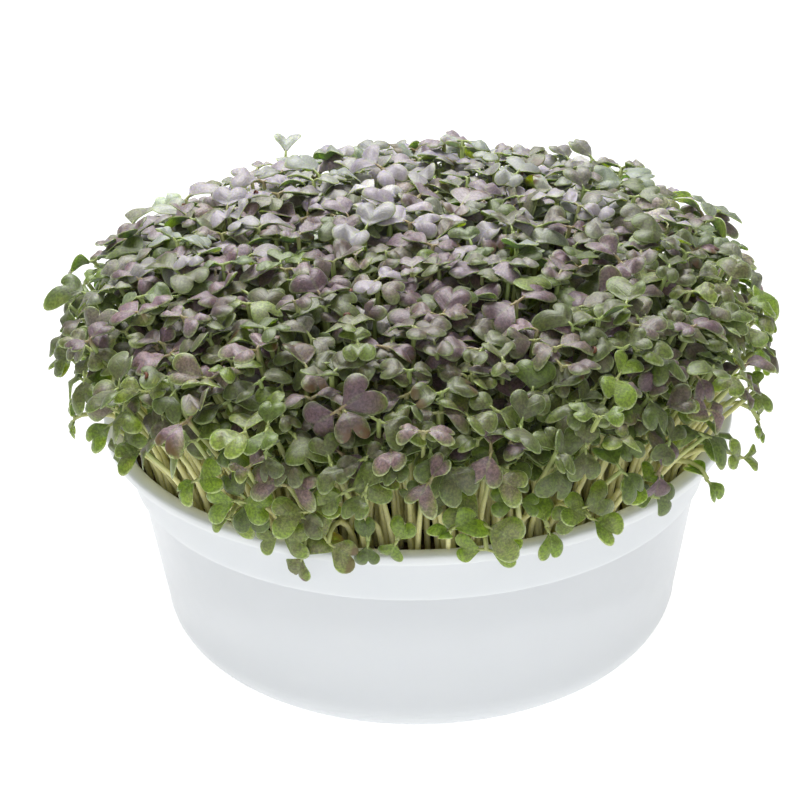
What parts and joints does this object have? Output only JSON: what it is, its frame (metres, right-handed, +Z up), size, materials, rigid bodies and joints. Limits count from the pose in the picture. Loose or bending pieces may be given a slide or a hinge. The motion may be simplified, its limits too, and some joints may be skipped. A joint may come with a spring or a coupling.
{
  "type": "mustard microgreens tray",
  "caption": "Round white tub with a lipped, collared rim, filled with growing medium and a dense dome of red-green mustard seedlings on pale stems",
  "frame": {"origin": "centre of the tub's flat underside, on the surface that it stands on", "axes": "+Z up; the tub is round about Z, and the pictured side faces -Y"},
  "size_m": [0.2087, 0.2194, 0.1282],
  "materials": {
    "tub_white": "smooth moulded white plastic, faintly bluish, satin sheen",
    "medium_brown": "damp dark brown peat and fibre, crumbly and matt",
    "leaf_green": "fresh green seed leaves, finely speckled, with paler margins, on pale stems",
    "leaf_dusky": "dusky grey-green seed leaves with a velvety sheen and paler margins, on pale stems",
    "leaf_purple": "purple-grey seed leaves with a velvety sheen and green margins, on pale stems",
    "seed_coat_brown": "thin, dry red-brown seed skins"
  },
  "bodies": {
    "root": {"growing_medium": "medium_brown", "seed_coat_01": "seed_coat_brown", "seed_coat_02": "seed_coat_brown", "seed_coat_03": "seed_coat_brown", "seed_coat_04": "seed_coat_brown", "sprouts_01": "leaf_green", "sprouts_02": "leaf_dusky", "sprouts_03": "leaf_green", "sprouts_04": "leaf_dusky", "sprouts_05": "leaf_green", "sprouts_06": "leaf_green", "sprouts_07": "leaf_purple", "sprouts_08": "leaf_purple", "sprouts_09": "leaf_dusky", "sprouts_10": "leaf_purple", "sprouts_11": "leaf_dusky", "sprouts_12": "leaf_dusky", "sprouts_13": "leaf_green", "sprouts_14": "leaf_green", "sprouts_15": "leaf_green", "sprouts_16": "leaf_dusky", "sprouts_17": "leaf_dusky", "sprouts_18": "leaf_green", "sprouts_19": "leaf_dusky", "sprouts_20": "leaf_green", "sprouts_21": "leaf_green", "sprouts_22": "leaf_dusky", "sprouts_23": "leaf_dusky", "sprouts_24": "leaf_purple", "sprouts_25": "leaf_green", "sprouts_26": "leaf_green", "sprouts_27": "leaf_purple", "sprouts_28": "leaf_green", "sprouts_29": "leaf_green", "sprouts_30": "leaf_purple", "sprouts_31": "leaf_green", "sprouts_32": "leaf_purple", "sprouts_33": "leaf_dusky", "sprouts_34": "leaf_purple", "tub": "tub_white"}
  },
  "joints": []
}
